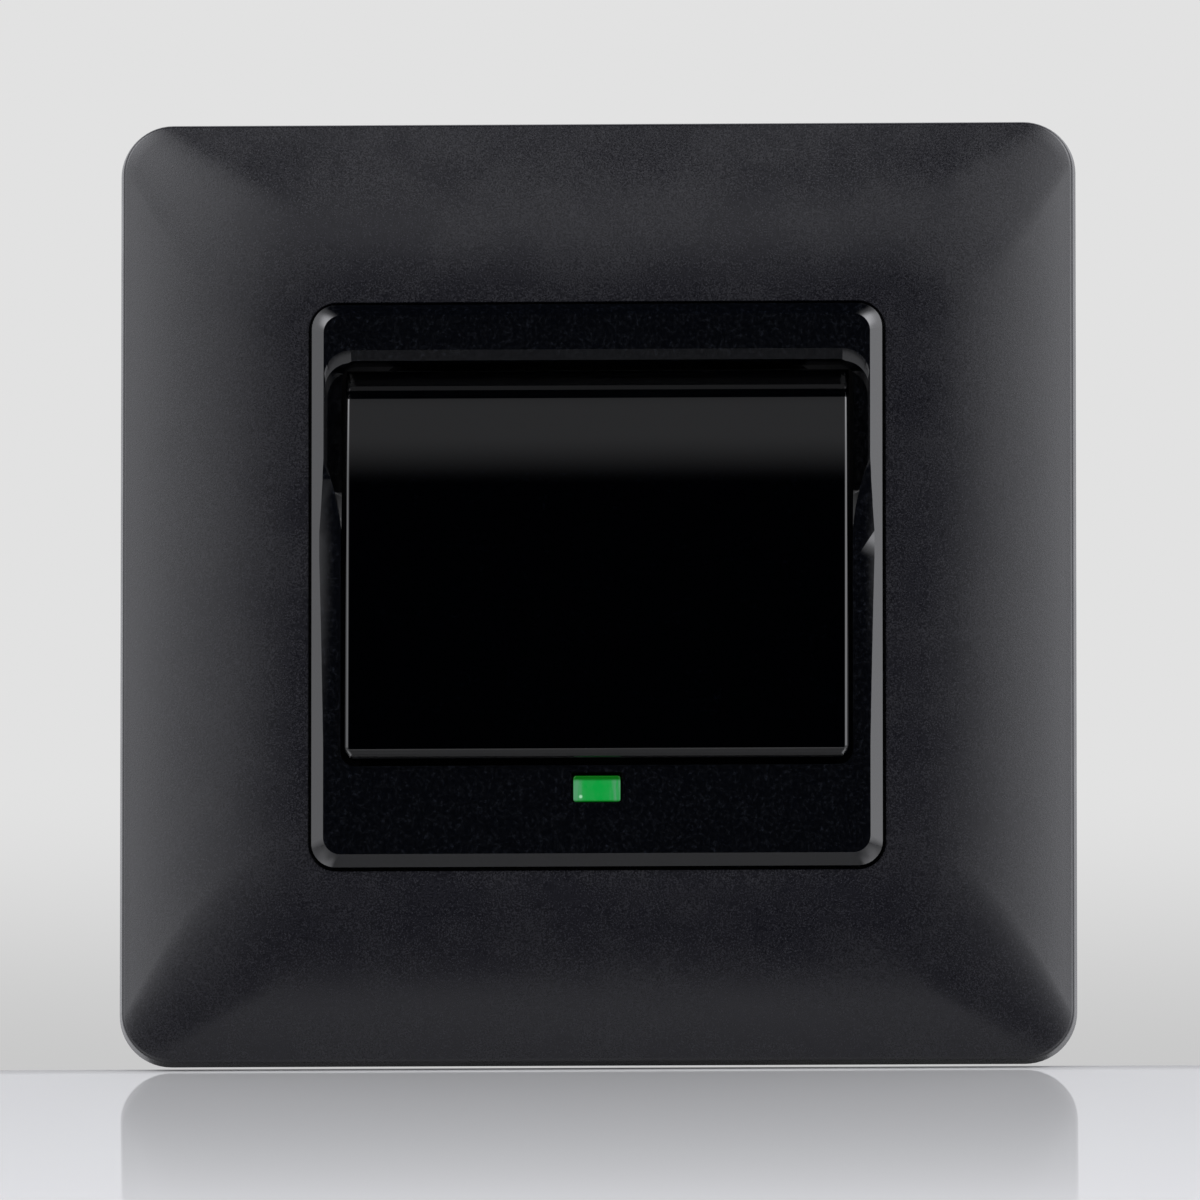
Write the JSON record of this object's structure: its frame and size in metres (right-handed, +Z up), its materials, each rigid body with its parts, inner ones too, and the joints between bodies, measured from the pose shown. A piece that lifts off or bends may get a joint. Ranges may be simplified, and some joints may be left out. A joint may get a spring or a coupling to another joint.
{
  "type": "smart light switch",
  "caption": "Flush wall switch with a wide tilting paddle in a square pillow-shaped frame, a lit status window, and a radio relay module behind the wall.",
  "frame": {"origin": "centre of the fixing slots, on the wall's surface, at the back face of the steel support plate", "axes": "+X right and +Z up as seen by the user; -Y out of the wall towards the user, +Y into the wall box"},
  "size_m": [0.086, 0.0347, 0.086],
  "materials": {
    "frame_plastic": "fine grained, matt, near black",
    "gloss_plastic": "polished, piano black",
    "paddle_plastic": "polished, piano black",
    "green_lens": "translucent, lit green from behind",
    "clear_plastic": "clear moulded light guide",
    "zinc_steel": "zinc plated pressed steel",
    "housing_plastic": "light grey flame-proof moulding",
    "carrier_plastic": "natural nylon",
    "plunger_plastic": "white acetal",
    "axle_steel": "ground steel pin",
    "spring_steel": "spring wire",
    "screw_steel": "zinc plated",
    "contact_brass": "stamped strip",
    "silver_tip": "silver alloy contact",
    "terminal_brass": "nickel-flashed brass",
    "board_laminate": "green solder mask",
    "relay_case": "blue moulded case",
    "transformer_tape": "yellow tape over windings",
    "capacitor_sleeve": "shrunk sleeve",
    "radio_laminate": "blue solder mask",
    "shield_tin": "tinned can",
    "fuse_body": "ceramic barrel",
    "varistor_coat": "blue epoxy coat",
    "led_body": "small lamp package"
  },
  "bodies": {
    "base": {"outer_frame": "frame_plastic", "centre_plate": "gloss_plastic", "indicator_lens": "green_lens", "light_pipe": "clear_plastic", "support_plate": "zinc_steel", "mechanism_cover": "housing_plastic", "rear_housing": "housing_plastic", "housing_screws": "screw_steel", "pivot_axle": "axle_steel", "common_contact": "contact_brass", "upper_contact": "contact_brass", "lower_contact": "contact_brass", "fixed_tips": "silver_tip", "main_board": "board_laminate", "relay": "relay_case", "power_transformer": "transformer_tape", "smoothing_capacitors": "capacitor_sleeve", "radio_module": "radio_laminate", "radio_shield": "shield_tin", "fuse": "fuse_body", "varistor": "varistor_coat", "status_led": "led_body", "terminal_clamps": "terminal_brass", "terminal_screws": "screw_steel", "terminal_pads": "terminal_brass"},
    "paddle": {"rocker_paddle": "paddle_plastic", "rocker_carrier": "carrier_plastic", "plunger_spring": "spring_steel"},
    "plunger": {"plunger": "plunger_plastic"},
    "seesaw": {"contact_seesaw": "contact_brass", "moving_tips": "silver_tip"}
  },
  "joints": [
    {"name": "paddle_tilt", "type": "hinge", "parent": "base", "child": "paddle", "pos_m": [0, -0.003, 0.00195], "axis": [1, 0, 0], "range_deg": [0, 6.2]},
    {"name": "plunger_slide", "type": "slide", "parent": "paddle", "child": "plunger", "axis": [0, -0.9985, 0.0541], "range_m": [0, 0.0006], "stiffness_N_per_m": 400, "springref_m": -0.002, "deforming": ["plunger_spring"]},
    {"name": "seesaw_tip", "type": "hinge", "parent": "base", "child": "seesaw", "pos_m": [0, 0.006, 0.00195], "axis": [1, 0, 0], "range_deg": [-10, 0]}
  ],
  "couplings": [
    {"joint": "seesaw_tip", "follows": "paddle_tilt", "ratio": -1.6129}
  ]
}
